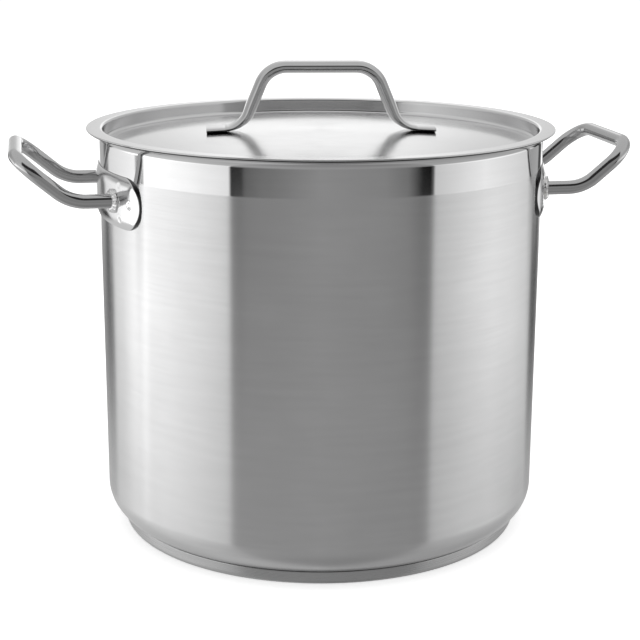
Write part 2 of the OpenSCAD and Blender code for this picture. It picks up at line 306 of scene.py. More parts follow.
def darkened(tree, colour, share, level):
    node = tree.nodes.new("ShaderNodeMix")
    node.data_type = "RGBA"
    plug(tree, share, node.inputs["Factor"])
    plug(tree, colour, node.inputs["A"])
    node.inputs["B"].default_value = (level, level, level, 1)
    return node.outputs["Result"]


def polished(name, shade, rough, cloud_size=35.0):
    material, tree, shader = steel_start(name)
    mark = used_group(tree, marks, Cloud_Size=cloud_size)
    worn = calc(tree, "MULTIPLY", mark["Clouds"], 0.05)
    cut = calc(tree, "MULTIPLY", mark["Scratches"], 0.08)
    both = calc(tree, "ADD", calc(tree, "ADD", worn, cut), rough)
    plug(tree, both, shader.inputs["Roughness"])
    plug(tree, tint(tree, mark["Clouds"], shade * 0.97, shade), shader.inputs["Base Color"])
    plug(tree, bump(tree, mark["Scratches"], 2e-6, 0.6), shader.inputs["Normal"])
    return material


print("steel makers ready")

# %% [markdown]
# ### The wall
# The wall has two finishes: it is brushed from the bottom up, then a bright band under the rim
# is polished like a mirror. A mask on height blends the two, with a hint of waviness at the
# border, because the polishing wheel wanders a little. The inside is brushed all the way up.
# A second mask paints the rim's outermost ring dark: painted shade for the gap under the lid's
# flange.

# %% Brushed and polished wall
POLISH_Z = 253.5
RIM_GAP_SHADE_LEVEL = 0.10
wall_steel, tree, shader = steel_start("wall_steel", 0.97)
place = tree.nodes.new("ShaderNodeTexCoord").outputs["Object"]
px, py, pz = xyz(tree, place)
ring = used_group(tree, grain, Lines=2600.0, Around=3.0)
mark = used_group(tree, marks, Cloud_Size=14.0)
wander = calc(tree, "MULTIPLY", calc(tree, "SUBTRACT", ring["Broad"], 0.5), 0.0004)
height = calc(tree, "ADD", pz, wander)
above = step_value(tree, height, (POLISH_Z - 0.8) * MM, (POLISH_Z + 0.4) * MM)
reach = distance_from_axis(tree, px, py)
outside = calc(tree, "GREATER_THAN", reach, (WALL_IN + SHEET / 2) * MM)
bright = calc(tree, "MULTIPLY", above, outside)
satin = added_share(tree, 0.17, 0.08, ring["Fine"])
mirror = added_share(tree, 0.045, 0.03, mark["Clouds"])
plug(tree, blend_value(tree, bright, satin, mirror), shader.inputs["Roughness"])
shade = calc(tree, "ADD", calc(tree, "MULTIPLY", ring["Broad"], 0.5),
             calc(tree, "MULTIPLY", mark["Clouds"], 0.3))
# Painted shade: the rim's outermost ring is darkened to stand for the shade in the gap under the
# lid's flange
rim_gap_shade = step_value(tree, reach, (RIM_R - 0.7) * MM, (RIM_R - 0.4) * MM)
plug(tree, darkened(tree, tint(tree, shade, 0.72, 0.84), rim_gap_shade, RIM_GAP_SHADE_LEVEL),
     shader.inputs["Base Color"])
rings = calc(tree, "MULTIPLY", ring["Fine"], calc(tree, "SUBTRACT", 1.0, bright))
plug(tree, bump(tree, rings, 6e-6, 0.5), shader.inputs["Normal"])
print("material", wall_steel.name)

# %% [markdown]
# ### The other steels
# The lid is lathe-polished: smooth, with faint rings. The base cap is duller pressed steel. The
# handles and plates are buffed bright. The plates' sheared edge, which the plate mesh marks with an
# attribute, is painted nearly black: painted shade along the edge where the plate meets the wall.
# Weld metal is grainy and keeps a little straw tint where the heat was not polished away.

# %% Lid, cap, handle and weld steels
lid_steel, tree, shader = steel_start("lid_steel", 0.8)
ring = used_group(tree, grain, Lines=1800.0, Around=2.0)
mark = used_group(tree, marks, Cloud_Size=22.0)
soft = added_share(tree, 0.10, 0.06, ring["Fine"])
plug(tree, added_share(tree, soft, 0.04, mark["Clouds"]), shader.inputs["Roughness"])
plug(tree, tint(tree, ring["Broad"], 0.76, 0.82), shader.inputs["Base Color"])
plug(tree, bump(tree, ring["Fine"], 3e-6, 0.4), shader.inputs["Normal"])

cap_steel, tree, shader = steel_start("cap_steel", 0.4)
ring = used_group(tree, grain, Lines=2200.0, Around=3.0)
plug(tree, added_share(tree, 0.22, 0.12, ring["Fine"]), shader.inputs["Roughness"])
plug(tree, tint(tree, ring["Broad"], 0.52, 0.62), shader.inputs["Base Color"])
plug(tree, bump(tree, ring["Fine"], 6e-6, 0.5), shader.inputs["Normal"])

core_metal, tree, shader = steel_start("core_aluminium")
ring = used_group(tree, grain, Lines=900.0, Around=3.0)
plug(tree, added_share(tree, 0.4, 0.15, ring["Fine"]), shader.inputs["Roughness"])
plug(tree, tint(tree, ring["Broad"], 0.5, 0.58), shader.inputs["Base Color"])

tube_steel = polished("tube_steel", 0.60, 0.09)
plate_steel = polished("plate_steel", 0.86, 0.10, 60.0)
tree = plate_steel.node_tree
shader = tree.nodes["Principled BSDF"]
# Painted shade: the plate's outline is painted nearly black, standing for the shade along the edge
# where the plate meets the wall
edge_shade_attr = tree.nodes.new("ShaderNodeAttribute")
edge_shade_attr.attribute_name = "plate_edge_shade"
buffed = shader.inputs["Base Color"].links[0].from_socket
EDGE_SHADE_LEVEL = 0.12
plug(tree, darkened(tree, buffed, edge_shade_attr.outputs["Fac"], EDGE_SHADE_LEVEL),
     shader.inputs["Base Color"])
lid_handle_steel = polished("lid_handle_steel", 0.64, 0.08, 45.0)

weld_steel, tree, shader = steel_start("weld_steel")
place = tree.nodes.new("ShaderNodeTexCoord").outputs["Object"]
grit = noise(tree, place, 900.0, 4.0, 0.6)
heat = noise(tree, place, 160.0, 2.0, 0.5)
plug(tree, added_share(tree, 0.14, 0.2, grit), shader.inputs["Roughness"])
straw = tree.nodes.new("ShaderNodeMix")
straw.data_type = "RGBA"
plug(tree, step_value(tree, heat, 0.45, 0.7), straw.inputs["Factor"])
straw.inputs["A"].default_value = (0.88, 0.88, 0.88, 1)
straw.inputs["B"].default_value = (0.76, 0.75, 0.73, 1)
plug(tree, straw.outputs["Result"], shader.inputs["Base Color"])
plug(tree, bump(tree, grit, 6e-5, 0.5), shader.inputs["Normal"])
print("materials", [m.name for m in bpy.data.materials])

# %% [markdown]
# ## Turning a section with Geometry Nodes
# A lathe has one rule: every point of the section goes round the axis. The tree lays out a grid
# with one row for each section point, reads that point by its index, and swings it round. The
# seam and the poles close by merging points that meet.

# %% Geometry tree helpers
MEET, SEGMENTS = 2e-6, 288


def geometry_tree(name, inputs):
    tree = bpy.data.node_groups.new(name, "GeometryNodeTree")
    kinds = {"int": "NodeSocketInt", "float": "NodeSocketFloat", "material": "NodeSocketMaterial",
             "geometry": "NodeSocketGeometry"}
    ids = {}
    for label, kind, start in [("Geometry", "geometry", None), *inputs,
                               ("Material", "material", None)]:
        socket = tree.interface.new_socket(label, in_out="INPUT", socket_type=kinds[kind])
        if start is not None:
            socket.default_value = start
        ids[label] = socket.identifier
    tree.interface.new_socket("Geometry", in_out="OUTPUT", socket_type="NodeSocketGeometry")
    return tree, ids, tree.nodes.new("NodeGroupInput").outputs


def node_in(tree, kind, settings=None, **values):
    node = tree.nodes.new(kind)
    for key, value in (settings or {}).items():
        setattr(node, key, value)
    for label, value in values.items():
        plug(tree, value, node.inputs[label.replace("_", " ")])
    return node


def tree_end(tree, geometry, material):
    real = node_in(tree, "GeometryNodeRealizeInstances", Geometry=geometry)
    last = node_in(tree, "GeometryNodeSetMaterial", Geometry=real.outputs[0], Material=material)
    out = tree.nodes.new("NodeGroupOutput")
    tree.links.new(last.outputs[0], out.inputs[0])


def swung_grid(tree, section, around):
    """A grid whose rows are the section's points; gives its geometry, each point and its turn."""
    size = node_in(tree, "GeometryNodeAttributeDomainSize", {"component": "MESH"},
                   Geometry=section)
    columns = calc(tree, "ADD", around, 1)
    grid = node_in(tree, "GeometryNodeMeshGrid", Vertices_X=size.outputs["Point Count"],
                   Vertices_Y=columns)
    index = tree.nodes.new("GeometryNodeInputIndex").outputs[0]
    row = calc(tree, "FLOOR", calc(tree, "DIVIDE", calc(tree, "ADD", index, 0.5), columns))
    column = calc(tree, "SUBTRACT", index, calc(tree, "MULTIPLY", row, columns))
    here = tree.nodes.new("GeometryNodeInputPosition").outputs[0]
    read = tree.nodes.new("GeometryNodeSampleIndex")
    read.data_type, read.domain = "FLOAT_VECTOR", "POINT"
    plug(tree, section, read.inputs["Geometry"])
    plug(tree, here, read.inputs["Value"])
    plug(tree, row, read.inputs["Index"])
    turn = calc(tree, "MULTIPLY", calc(tree, "DIVIDE", column, around), TAU)
    return grid.outputs["Mesh"], read.outputs[0], turn


def closed_up(tree, grid, position):
    put = node_in(tree, "GeometryNodeSetPosition", Geometry=grid, Position=position)
    merged = node_in(tree, "GeometryNodeMergeByDistance", Geometry=put.outputs[0], Distance=MEET)
    return node_in(tree, "GeometryNodeSetShadeSmooth", Geometry=merged.outputs[0]).outputs[0]


print("geometry helpers ready")

# %% Turned sheet tree
turned, turned_ids, gin = geometry_tree("Turned sheet", [("Segments", "int", SEGMENTS)])
grid, point, turn = swung_grid(turned, gin["Geometry"], gin["Segments"])
sx, _, sz = xyz(turned, point)
swung = vec(turned, calc(turned, "MULTIPLY", sx, calc(turned, "COSINE", turn)),
            calc(turned, "MULTIPLY", sx, calc(turned, "SINE", turn)), sz)
tree_end(turned, closed_up(turned, grid, swung), gin["Material"])
print("tree", turned.name)


# %% From a tree to a plain mesh
def outward(mesh):
    """Turns a closed mesh the right way out and marks its sharp edges."""
    work = bmesh.new()
    work.from_mesh(mesh)
    bmesh.ops.remove_doubles(work, verts=work.verts, dist=MEET / 2)
    bmesh.ops.recalc_face_normals(work, faces=work.faces)
    if work.calc_volume(signed=True) < 0:
        bmesh.ops.reverse_faces(work, faces=work.faces)
    work.to_mesh(mesh)
    open_edges = sum(1 for e in work.edges if len(e.link_faces) != 2)
    work.free()
    mesh.set_sharp_from_angle(angle=math.radians(50))
    return open_edges


def grown(name, source, tree, ids, material, **values):
    """Runs a geometry tree on source and returns the result as a plain mesh object."""
    modifier = source.modifiers.new("grow", "NODES")
    modifier.node_group = tree
    modifier[ids["Material"]] = material
    for label, value in values.items():
        modifier[ids[label.replace("_", " ")]] = value
    bpy.context.view_layer.update()
    result = source.evaluated_get(bpy.context.evaluated_depsgraph_get())
    mesh = bpy.data.meshes.new_from_object(result)
    source.modifiers.remove(modifier)
    bpy.data.objects.remove(source)
    mesh.name = name
    open_edges = outward(mesh)
    obj = bpy.data.objects.new(name, mesh)
    bpy.context.collection.objects.link(obj)
    print(name, len(mesh.polygons), "faces,", open_edges, "open edges")
    return obj


def lathed(name, points, material):
    section = chain_object(name + "_section", [(x, 0, z) for x, z in points])
    return grown(name, section, turned, turned_ids, material, Segments=SEGMENTS)


print("lathe ready with", SEGMENTS, "segments")

# %% [markdown]
# ## The pot body
# The real body is one deep-drawn cup: flat bottom, rounded corner, straight wall and a rim that
# flares out and ends in a soft edge. It could be a cylinder with a thickness modifier, but a
# drawn section keeps the true inside and outside radii at the corner and the flare.

# %% Pot body
CORNER, FLARE = 20.0, 6.0
flare_x, flare_z = WALL_IN + FLARE, RIM_TOP - FLARE
corner_x, corner_z = WALL_IN - CORNER, BOTTOM_Z + CORNER + SHEET
edge = (RIM_R - SHEET / 2, RIM_TOP - SHEET / 2)
body_section = outline(
    run((0, BOTTOM_Z + SHEET), (corner_x, BOTTOM_Z + SHEET), 10),
    arc((corner_x, corner_z), CORNER, -90, 0, 16),
    run((WALL_IN, corner_z), (WALL_IN, flare_z), 24),
    arc((flare_x, flare_z), FLARE, 180, 90, 12),
    arc(edge, SHEET / 2, 90, -90, 8),
    arc((flare_x, flare_z), FLARE - SHEET, 90, 180, 12),
    run((WALL_OUT, flare_z), (WALL_OUT, corner_z), 24),
    arc((corner_x, corner_z), CORNER + SHEET, 0, -90, 16),
    run((corner_x, BOTTOM_Z), (0, BOTTOM_Z), 10),
)
body = lathed("pot_body", body_section, wall_steel)
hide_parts("pot_shell")
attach(body, "pot")

# %% [markdown]
# ## The sandwich base
# An aluminium disc spreads the heat, and a thin steel cap is pressed round it. The cap's top
# edge stops just short of the wall, which leaves the fine dark line round a real pot's foot.
# The disc is almost hidden, so the engineering part stays and only gets its metal.

# %% Base cap and core
CAP_R, CAP_H, CAP_SHEET, CAP_EDGE = 139.6, 8.8, 0.8, 3.0
LIP_OUT, LIP_IN = 0.35, 0.2
cap_in = CAP_R - CAP_SHEET
cap_section = outline(
    run((0, 0), (CAP_R - CAP_EDGE, 0), 10),
    arc((CAP_R - CAP_EDGE, CAP_EDGE), CAP_EDGE, -90, 0, 8),
    run((CAP_R, CAP_EDGE), (CAP_R, CAP_H - LIP_OUT), 4),
    arc((CAP_R - LIP_OUT, CAP_H - LIP_OUT), LIP_OUT, 0, 90, 5),
    arc((cap_in + LIP_IN, CAP_H - LIP_IN), LIP_IN, 90, 180, 4),
    run((cap_in, CAP_H - LIP_IN), (cap_in, CAP_EDGE), 3),
    arc((CAP_R - CAP_EDGE, CAP_EDGE), CAP_EDGE - CAP_SHEET, 0, -90, 5),
    run((CAP_R - CAP_EDGE, CAP_SHEET), (0, CAP_SHEET), 6),
)
cap = lathed("foot_cap", cap_section, cap_steel)
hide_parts("base_cap")
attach(cap, "pot")
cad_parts["base_core"].data.materials.clear()
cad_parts["base_core"].data.materials.append(core_metal)

# %% [markdown]
# ## Handle plates
# Each pair of legs is welded to a pressed plate: a long strip with round ends, bent to the
# wall, its face standing proud and falling away to a thin rim. Spot welds leave small dimples.
# The plate is laid out flat as rings inside its outline, given a height at each point, and only
# then wrapped round the wall, so the dimples stay round. Its sheared edge is marked and painted
# nearly black: painted shade along the edge where the plate meets the wall.

# %% Plate mesh
PLATE_ARC, PLATE_HALF, FACE_HALF, PLATE_RIM, PLATE_BACK = 64.0, 17.0, 9.0, 0.7, -0.3
END_FLAT, END_DROP, EDGE_ROUND = 6, 1.5, 0.3
DIMPLE_R, DIMPLE_DEPTH = 1.8, 0.26
RIDGE_R, RIDGE_HALF, RIDGE_H = 3.0, 0.7, 0.03
STRAIGHT_STEPS, END_STEPS = 120, 48
# Each spot weld: how far along the wall from the middle, and how far above the legs
SPOTS = [(58, 11), (58, -11), (71, 0), (-58, 11), (-58, -11), (-71, 0)]
shoulder_h, shoulder_drop = PLATE_HALF - FACE_HALF, PLATE_CROWN - PLATE_RIM
shoulder_r = (shoulder_h ** 2 + shoulder_drop ** 2) / (2 * shoulder_drop)


def plate_height(s, t, inset):
    past = max(0.0, abs(t) - FACE_HALF)
    height = PLATE_CROWN - shoulder_r + math.sqrt(shoulder_r ** 2 - past ** 2)
    beyond = max(0.0, abs(s) - PLATE_ARC - END_FLAT) / (PLATE_HALF - END_FLAT)
    height -= END_DROP * beyond ** 2 * (1 - past / shoulder_h)
    if inset < EDGE_ROUND:
        height -= EDGE_ROUND - math.sqrt(EDGE_ROUND ** 2 - (EDGE_ROUND - inset) ** 2)
    for spot_s, spot_t in SPOTS:
        d = math.hypot(s - spot_s, t - spot_t)
        height -= DIMPLE_DEPTH * math.exp(-(d / DIMPLE_R) ** 4)
        height += RIDGE_H * math.exp(-((d - RIDGE_R) / RIDGE_HALF) ** 2)
    return height


def stadium(inset):
    """The plate's outline, drawn in by inset: a straight side and a round end, twice."""
    r = PLATE_HALF - inset
    ring = []
    for way in (1, -1):
        for i in range(STRAIGHT_STEPS):
            ring.append((way * (2 * PLATE_ARC * i / STRAIGHT_STEPS - PLATE_ARC), -way * r))
        for i in range(END_STEPS):
            t = math.pi * (i / END_STEPS - way / 2)
            ring.append((way * PLATE_ARC + r * math.cos(t), r * math.sin(t)))
    return ring


def on_plate_outline(place, side):
    """1 for a point on the plate's outline, on the side of the pot that side gives, else 0."""
    s = WALL_OUT * math.atan2(side * place.y, side * place.x)
    beyond = max(0.0, abs(s) - PLATE_ARC)
    return float(math.hypot(beyond, place.z / MM - LEG_Z) > PLATE_HALF - 0.015)


def plate_piece(name, side):
    insets = [0, 0.03, 0.1, 0.2, 0.3, 0.8, *np.linspace(1.4, PLATE_HALF, 26)]
    layers = [[(s, t, PLATE_BACK) for s, t in stadium(d)] for d in (PLATE_HALF, 8.0, 0)]
    layers += [[(s, t, plate_height(s, t, d)) for s, t in stadium(d)] for d in insets]
    points, faces = [], []
    for layer in layers:
        for s, t, h in layer:
            turn, reach = s / WALL_OUT, WALL_OUT + h
            points.append((side * reach * math.cos(turn), side * reach * math.sin(turn),
                           LEG_Z + t))
    n = len(layers[0])
    for k in range(len(layers) - 1):
        for i in range(n):
            j = (i + 1) % n
            faces.append((k * n + i, k * n + j, (k + 1) * n + j, (k + 1) * n + i))
    obj = mesh_object(name, points, (), faces)
    left_open = outward(obj.data)
    obj.data.shade_smooth()
    obj.data.set_sharp_from_angle(angle=math.radians(60))
    # Marks the outline, which the plate material paints dark as shade along the wall
    edge = obj.data.attributes.new("plate_edge_shade", "FLOAT", "POINT")
    edge.data.foreach_set("value", [on_plate_outline(v.co, side) for v in obj.data.vertices])
    obj.data.materials.append(plate_steel)
    print(name, len(obj.data.polygons), "faces,", left_open, "open edges")
    return obj


for label, side in (("right", 1), ("left", -1)):
    plate = plate_piece(label + "_plate", side)
    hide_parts(label + "_handle_plate")
    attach(plate, "pot")

# %% [markdown]
# ## Tube handles
# A handle is one round tube: out from the plate, up through a bend and round two corners to the
# grip. The route is a chain of points with exact arcs, and a tree sweeps a circle along it.
# Tube could also be a bevelled curve, but the tree keeps the sizes as named inputs.

# %% Tube tree
tubed, tubed_ids, gin = geometry_tree(
    "Bent tube", [("Tube Radius", "float", 0.00465), ("Sides", "int", 40)])
route = node_in(tubed, "GeometryNodeMeshToCurve", Mesh=gin["Geometry"])
circle = node_in(tubed, "GeometryNodeCurvePrimitiveCircle", Resolution=gin["Sides"],
                 Radius=gin["Tube Radius"])
swept = node_in(tubed, "GeometryNodeCurveToMesh", Curve=route.outputs[0],
                Profile_Curve=circle.outputs[0], Fill_Caps=True)
swept_smooth = node_in(tubed, "GeometryNodeSetShadeSmooth", Geometry=swept.outputs[0])
tree_end(tubed, swept_smooth.outputs[0], gin["Material"])
print("tree", tubed.name)

# %% Handle route
RISE, BEND_R, GRIP_R = math.radians(40), 28.6, 20.1
BEND_STEPS, CORNER_STEPS, TUBE_SIDES = 12, 18, 48
BEND_X, GRIP_X, ROOT_X = WALL_OUT + 21.7, WALL_OUT + 55.1, 143.5
bend_tangent = BEND_R * math.tan(RISE / 2)
grip_run = (GRIP_X - BEND_X) / math.cos(RISE)


def half_route():
    bend_start = BEND_X - bend_tangent
    points = [(x, LEG_Y, LEG_Z) for x, _ in run((ROOT_X, 0), (bend_start, 0), 4)]
    for i in range(1, BEND_STEPS + 1):
        t = RISE * i / BEND_STEPS
        points.append((bend_start + BEND_R * math.sin(t), LEG_Y,
                       LEG_Z + BEND_R * (1 - math.cos(t))))
    along = run((bend_tangent, LEG_Y), (grip_run - GRIP_R, LEG_Y), 3)
    along += arc((grip_run - GRIP_R, LEG_Y - GRIP_R), GRIP_R, 90, 0, CORNER_STEPS)[1:]
    along += run((grip_run, LEG_Y - GRIP_R), (grip_run, 0), 4)[1:]
    for u, v in along[1:]:
        points.append((BEND_X + u * math.cos(RISE), v, LEG_Z + u * math.sin(RISE)))
    return points


def handle_piece(name, side):
    half = half_route()
    route_points = half + [(x, -y, z) for x, y, z in half[-2::-1]]
    chain = chain_object(name + "_route", [(side * x, side * y, z) for x, y, z in route_points])
    return grown(name, chain, tubed, tubed_ids, tube_steel, Tube_Radius=TUBE_R * MM,
                 Sides=TUBE_SIDES)


for label, side in (("right", 1), ("left", -1)):
    tube = handle_piece(label + "_tube_handle", side)
    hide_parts(label + "_handle")
    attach(tube, "pot")

# %% [markdown]
# ## Weld beads
# Where a leg meets its plate, the welder has run a bead all the way round. Weld metal is lumpy
# and no two beads match. The tree turns a small section round the leg, pushes it in and out
# with noise whose seed is an input, adds the ripples left by the torch, and sets it down on the
# curved face of the plate.

# %% Weld bead tree
bead_tree, bead_ids, gin = geometry_tree("Weld bead", [
    ("Around", "int", 96), ("Side", "float", 1.0), ("Leg Offset", "float", LEG_Y * MM),
    ("Leg Height", "float", LEG_Z * MM), ("Face Radius", "float", PLATE_FACE * MM),
    ("Lumps", "float", 0.0011), ("Ripple Count", "float", 17.0), ("Seed", "float", 0.0)])
grid, point, turn = swung_grid(bead_tree, gin["Geometry"], gin["Around"])
sr, _, sh = xyz(bead_tree, point)
circle_x = calc(bead_tree, "COSINE", turn)
circle_y = calc(bead_tree, "SINE", turn)
lump_place = vec(bead_tree, circle_x, circle_y, calc(bead_tree, "MULTIPLY", sh, 300.0))
lump = node_in(bead_tree, "ShaderNodeTexNoise", {"noise_dimensions": "4D"},
               Vector=lump_place, W=gin["Seed"], Scale=2.1, Detail=2.0)
ripple = calc(bead_tree, "SINE", calc(bead_tree, "ADD", calc(
    bead_tree, "MULTIPLY", turn, gin["Ripple Count"]), calc(bead_tree, "MULTIPLY", sh, 900.0)))
MEAN_LUMP, LUMP_GAIN, RIPPLE_GAIN = 0.45, 2.4, 0.13
swell = calc(bead_tree, "ADD", calc(bead_tree, "MULTIPLY", calc(
    bead_tree, "SUBTRACT", lump.outputs[0], MEAN_LUMP), LUMP_GAIN),
             calc(bead_tree, "MULTIPLY", ripple, RIPPLE_GAIN))
shown = step_value(bead_tree, sh, -0.4 * MM, 1.0 * MM)
swell = calc(bead_tree, "MULTIPLY", calc(bead_tree, "MULTIPLY", swell, gin["Lumps"]), shown)
bead_radius = calc(bead_tree, "ADD", sr, swell)
bead_y = calc(bead_tree, "ADD", gin["Leg Offset"],
              calc(bead_tree, "MULTIPLY", bead_radius, circle_x))
bead_z = calc(bead_tree, "ADD", gin["Leg Height"],
              calc(bead_tree, "MULTIPLY", bead_radius, circle_y))
face_x = calc(bead_tree, "SQRT", calc(
    bead_tree, "SUBTRACT", calc(bead_tree, "MULTIPLY", gin["Face Radius"], gin["Face Radius"]),
    calc(bead_tree, "MULTIPLY", bead_y, bead_y)))
bead_x = calc(bead_tree, "ADD", face_x, calc(
    bead_tree, "ADD", sh, calc(bead_tree, "MULTIPLY", swell, 0.7)))
placed = vec(bead_tree, calc(bead_tree, "MULTIPLY", bead_x, gin["Side"]),
             calc(bead_tree, "MULTIPLY", bead_y, gin["Side"]), bead_z)
tree_end(bead_tree, closed_up(bead_tree, grid, placed), gin["Material"])
print("tree", bead_tree.name)

# %% Weld beads
BEAD_R, BEAD_CLIMB = 7.9, 2.4
CREST_IN, ROOT_IN, SHOULDER_DROP, SUNK = TUBE_R - 0.5, TUBE_R - 1.2, 0.4, -0.7
CREST_STEPS, SEED_STEP = 12, 3.7
crest = [(CREST_IN + (BEAD_R - CREST_IN) * math.cos(t), BEAD_CLIMB * math.sin(t))
         for t in np.linspace(0, math.pi / 2, CREST_STEPS + 1)]
bead_section = outline([(BEAD_R, SUNK)], crest, [
    (ROOT_IN, BEAD_CLIMB - SHOULDER_DROP), (ROOT_IN, SUNK), (BEAD_R, SUNK)])
bead_number = 0
for label, side in (("left", -1.0), ("right", 1.0)):
    for place_name, y in (("front", -LEG_Y), ("rear", LEG_Y)):
        bead_number += 1
        name = f"{label}_{place_name}_weld_bead"
        chain = chain_object(name + "_section", [(x, 0, z) for x, z in bead_section])
        bead = grown(name, chain, bead_tree, bead_ids, weld_steel, Side=side,
                     Leg_Offset=side * y * MM, Seed=SEED_STEP * bead_number)
        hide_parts(f"{label}_{place_name}_weld")
        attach(bead, "pot")

# %% [markdown]
# ## Spot welds
# The plates and the lid handle are also held by spot welds, which show on the far side of the
# sheet as small round buttons. They repeat, so a tree puts one flat button on each point it is
# given and turns it to face the way the sheet does.

# %% Spot weld tree
spot_tree, spot_ids, gin = geometry_tree(
    "Spot welds", [("Radius", "float", 0.0022), ("Flatness", "float", 0.1),
                   ("On Wall", "float", 1.0)])
button = node_in(spot_tree, "GeometryNodeMeshUVSphere", Segments=20, Rings=10,
                 Radius=gin["Radius"])
pressed = node_in(spot_tree, "GeometryNodeTransform", Geometry=button.outputs["Mesh"],
                  Scale=vec(spot_tree, 1.0, 1.0, gin["Flatness"]))
here = xyz(spot_tree, spot_tree.nodes.new("GeometryNodeInputPosition").outputs[0])
facing = vec(spot_tree, calc(spot_tree, "MULTIPLY", here[0], gin["On Wall"]),
             calc(spot_tree, "MULTIPLY", here[1], gin["On Wall"]),
             calc(spot_tree, "SUBTRACT", 1.0, gin["On Wall"]))
turned_to = node_in(spot_tree, "FunctionNodeAlignRotationToVector", {"axis": "Z"}, Vector=facing)
spread = node_in(spot_tree, "GeometryNodeInstanceOnPoints", Points=gin["Geometry"],
                 Instance=pressed.outputs[0], Rotation=turned_to.outputs[0])
smooth = node_in(spot_tree, "GeometryNodeSetShadeSmooth", Geometry=spread.outputs[0])
tree_end(spot_tree, smooth.outputs[0], gin["Material"])
print("tree", spot_tree.name)

# %% Spot welds on the wall
for label, side in (("left", -1), ("right", 1)):
    spots = [(side * WALL_IN * math.cos(s / WALL_OUT), side * WALL_IN * math.sin(s / WALL_OUT),
              LEG_Z + t) for s, t in SPOTS]
    name = label + "_wall_spot_welds"
    buttons = grown(name, mesh_object(name + "_points", spots), spot_tree, spot_ids, weld_steel)
    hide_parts(label + "_plate_spot_welds")
    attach(buttons, "pot")

# %% [markdown]
# ## The lid
# The lid is spun from one sheet: a flat flange that lies on the rim, a short wall that drops
# into the pot, and a floor that rises again in a shallow dome. The same lathe tree makes it.

# %% Lid pan
FLANGE_TOP = RIM_TOP + LID_SHEET
FLANGE_OUT, PLUG_IN = 159.2, 148.0
PLUG_OUT = PLUG_IN + LID_SHEET
FLANGE_R, RECESS_R, RECESS_DEPTH, DOME_RISE = 2.0, 2.5, 10.4, 7.6
FLANGE_EDGE = LID_SHEET / 2
DOME_STEPS, RECESS_START = 40, -75
flange_z = FLANGE_TOP - FLANGE_R
recess_z = FLANGE_TOP - RECESS_DEPTH
recess_x = PLUG_IN - RECESS_R
dome_top = recess_z + DOME_RISE
dome_r = (recess_x ** 2 + DOME_RISE ** 2) / (2 * DOME_RISE)


def dome_z(x, drop=0.0):
    """Height of the dome's upper face at x, or of a face that lies drop below it."""
    return dome_top - dome_r + math.sqrt((dome_r - drop) ** 2 - x ** 2)


dome_xs = np.linspace(0, recess_x, DOME_STEPS)
lid_section = outline(
    [(x, dome_z(x)) for x in dome_xs],
    [(recess_x + 0.3, recess_z + 0.01)],
    arc((recess_x, recess_z + RECESS_R), RECESS_R, RECESS_START, 0, 10),
    run((PLUG_IN, recess_z + RECESS_R), (PLUG_IN, flange_z), 4),
    arc((PLUG_IN + FLANGE_R, flange_z), FLANGE_R, 180, 90, 10),
    run((PLUG_IN + FLANGE_R, FLANGE_TOP), (FLANGE_OUT - FLANGE_EDGE, FLANGE_TOP), 5),
    arc((FLANGE_OUT - FLANGE_EDGE, FLANGE_TOP - FLANGE_EDGE), FLANGE_EDGE, 90, -90, 8),
    run((FLANGE_OUT - FLANGE_EDGE, RIM_TOP), (PLUG_IN + FLANGE_R, RIM_TOP), 5),
    arc((PLUG_IN + FLANGE_R, flange_z), FLANGE_R - LID_SHEET, 90, 180, 8),
    run((PLUG_OUT, flange_z), (PLUG_OUT, recess_z + RECESS_R), 4),
    arc((recess_x, recess_z + RECESS_R), RECESS_R + LID_SHEET, 0, RECESS_START, 10),
    [(x, dome_z(x, LID_SHEET)) for x in dome_xs[::-1]],
)
lid = lathed("lid_sheet", lid_section, lid_steel)
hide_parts("lid_pan")
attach(lid, "lid")

# %% [markdown]
# ## The lid handle
# This handle starts as a round tube. It is flattened to an oval for the grip, and its ends are
# pressed shut into feet, where the two layers show as a thin slot. Its section changes along
# the way, so rings are written point by point along a filleted route, then skinned. Each end is
# closed by a sheet of faces that dips inwards along the middle, which makes the slot.

# %% Lid handle route
FOOT_END, FOOT_W, FOOT_T, GRIP_W, GRIP_T = 78.1, 23.5, 3.4, 22.0, 8.4
FOOT_FLAT_L, FOOT_OPEN_L, FOOT_BENDS_AT, FOOT_LIFT, FOOT_SLOPE = 16, 17, 64.5, 0.2, 0.9
LEG_X, TOP_X, GRIP_RISE, LOW_BEND_R, HIGH_BEND_R = 53.5, 36.3, 41.8, 18.0, 19.3
FOOT_STEPS, FILLET_STEPS = 14, 26
GRIP_Z = dome_top + GRIP_RISE
GRIP_CORNER = np.array([TOP_X, GRIP_Z])
FOOT_CORNER = np.array([LEG_X, dome_z(LEG_X) + FOOT_T / 2 + FOOT_LIFT])


def fillet(a, b, c, radius, steps):
    """The arc of this radius that rounds the corner b on the way from a to c."""
    a, b, c = (np.array(p, float) for p in (a, b, c))
    u, v = (a - b) / np.linalg.norm(a - b), (c - b) / np.linalg.norm(c - b)
    half = math.acos(float(u @ v)) / 2
    start = b + u * radius / math.tan(half)
    middle = b + (u + v) / np.linalg.norm(u + v) * radius / math.sin(half)
    arm = start - middle
    sweep = math.pi - 2 * half
    if u[0] * v[1] - u[1] * v[0] > 0:
        sweep = -sweep
    points = []
    for i in range(steps + 1):
        t = sweep * i / steps
        points.append((middle[0] + arm[0] * math.cos(t) - arm[1] * math.sin(t),
                       middle[1] + arm[0] * math.sin(t) + arm[1] * math.cos(t)))
    return points


